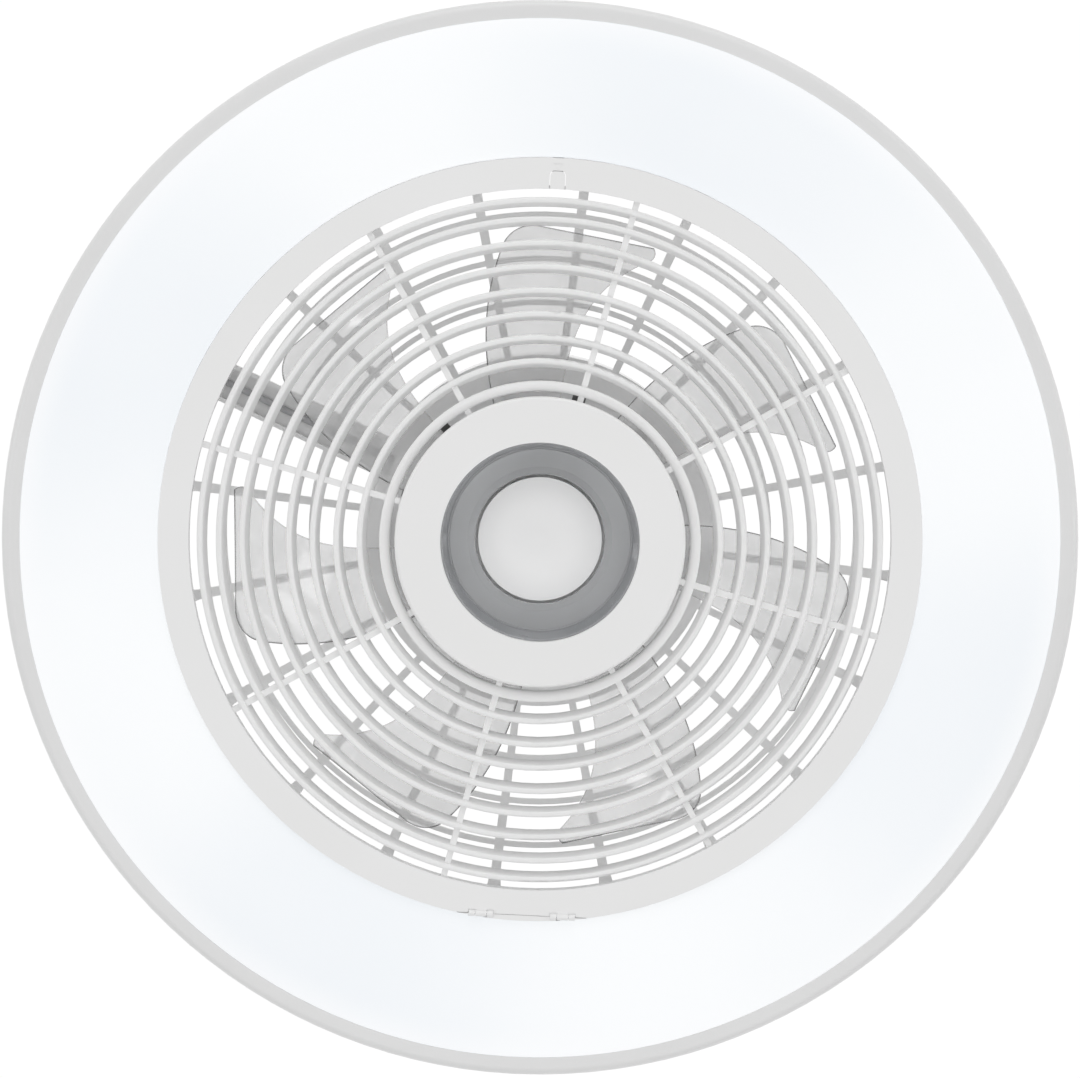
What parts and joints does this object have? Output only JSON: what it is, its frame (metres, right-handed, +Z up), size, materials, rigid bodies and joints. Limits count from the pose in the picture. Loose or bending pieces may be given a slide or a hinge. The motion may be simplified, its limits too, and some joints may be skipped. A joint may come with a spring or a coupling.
{
  "type": "ceiling fan",
  "caption": "Low caged ceiling fan with clear blades, a surrounding ring light, a small centre lamp and a cover that swings down for cleaning.",
  "frame": {"origin": "middle of the ceiling bracket's top face, on the ceiling", "axes": "+Z up into the ceiling, the fan hangs towards -Z; the cover's hinge is at +Y and its latch at -Y"},
  "size_m": [0.58, 0.58, 0.1805],
  "materials": {
    "white_plastic": "fine satin",
    "grille_plastic": "satin",
    "trim_plastic": "satin white",
    "white_steel": "satin white",
    "zinc_steel": "zinc plated",
    "bearing_steel": "polished",
    "electrical_steel": "laminated",
    "copper_wire": "enamelled",
    "magnet_ferrite": "matt",
    "clear_plastic": "clear, polished",
    "milky_plastic": "opal",
    "black_plastic": "satin",
    "board": "white solder mask",
    "green_board": "solder mask",
    "chip": "phosphor",
    "rubber": "matt",
    "cable_sheath": "matt"
  },
  "bodies": {
    "frame": {"ceiling_bracket": "zinc_steel", "ground_screw": "zinc_steel", "canopy": "white_steel", "canopy_screws": "zinc_steel", "terminal_block": "white_plastic", "driver_case": "white_plastic", "driver_lid": "white_plastic", "driver_board": "green_board", "driver_parts": "black_plastic", "upper_grille": "grille_plastic", "grille_screws": "zinc_steel", "light_lead": "cable_sheath", "lead_grommet": "rubber", "light_chassis": "white_steel", "cage_screws": "zinc_steel", "led_boards": "board", "led_chips": "chip", "board_screws": "zinc_steel", "diffuser": "milky_plastic", "trim_ring": "trim_plastic", "trim_screws": "zinc_steel", "motor_shaft": "zinc_steel", "shaft_screws": "zinc_steel", "shaft_circlip": "zinc_steel", "inner_races": "bearing_steel", "stator_core": "electrical_steel", "windings": "copper_wire", "lamp_base": "white_plastic", "lamp_nut": "zinc_steel", "lamp_board": "board", "lamp_chips": "chip", "lamp_lens": "milky_plastic", "lamp_lead": "cable_sheath", "hinge_block": "white_plastic", "hinge_screws": "zinc_steel", "hinge_pins": "zinc_steel"},
    "rotor": {"outer_races": "bearing_steel", "bearing_balls": "bearing_steel", "rotor_cover": "zinc_steel", "rotor_shell": "zinc_steel", "rotor_screws": "zinc_steel", "magnets": "magnet_ferrite", "blade_hub": "grille_plastic", "hub_screws": "zinc_steel", "blade_screws": "zinc_steel", "blade_1": "clear_plastic", "blade_2": "clear_plastic", "blade_3": "clear_plastic", "blade_4": "clear_plastic", "blade_5": "clear_plastic", "blade_6": "clear_plastic", "blade_7": "clear_plastic"},
    "cover": {"cover_grille": "white_plastic", "hub_disc": "white_plastic", "disc_screws": "zinc_steel", "centre_cup": "clear_plastic"},
    "latch": {"latch_tab": "white_plastic"}
  },
  "joints": [
    {"name": "rotor_spin", "type": "hinge", "parent": "frame", "child": "rotor", "pos_m": [0, 0, -0.09], "axis": [0, 0, 1], "continuous": true},
    {"name": "cover_hinge", "type": "hinge", "parent": "frame", "child": "cover", "pos_m": [0, 0.20245, -0.166], "axis": [1, 0, 0], "range_deg": [0, 85], "deforming": ["latch_tab"]},
    {"name": "latch_press", "type": "hinge", "parent": "cover", "child": "latch", "pos_m": [0, -0.19, -0.163], "axis": [-1, 0, 0], "range_deg": [0, 8], "stiffness_Nm_per_rad": 0.5}
  ]
}
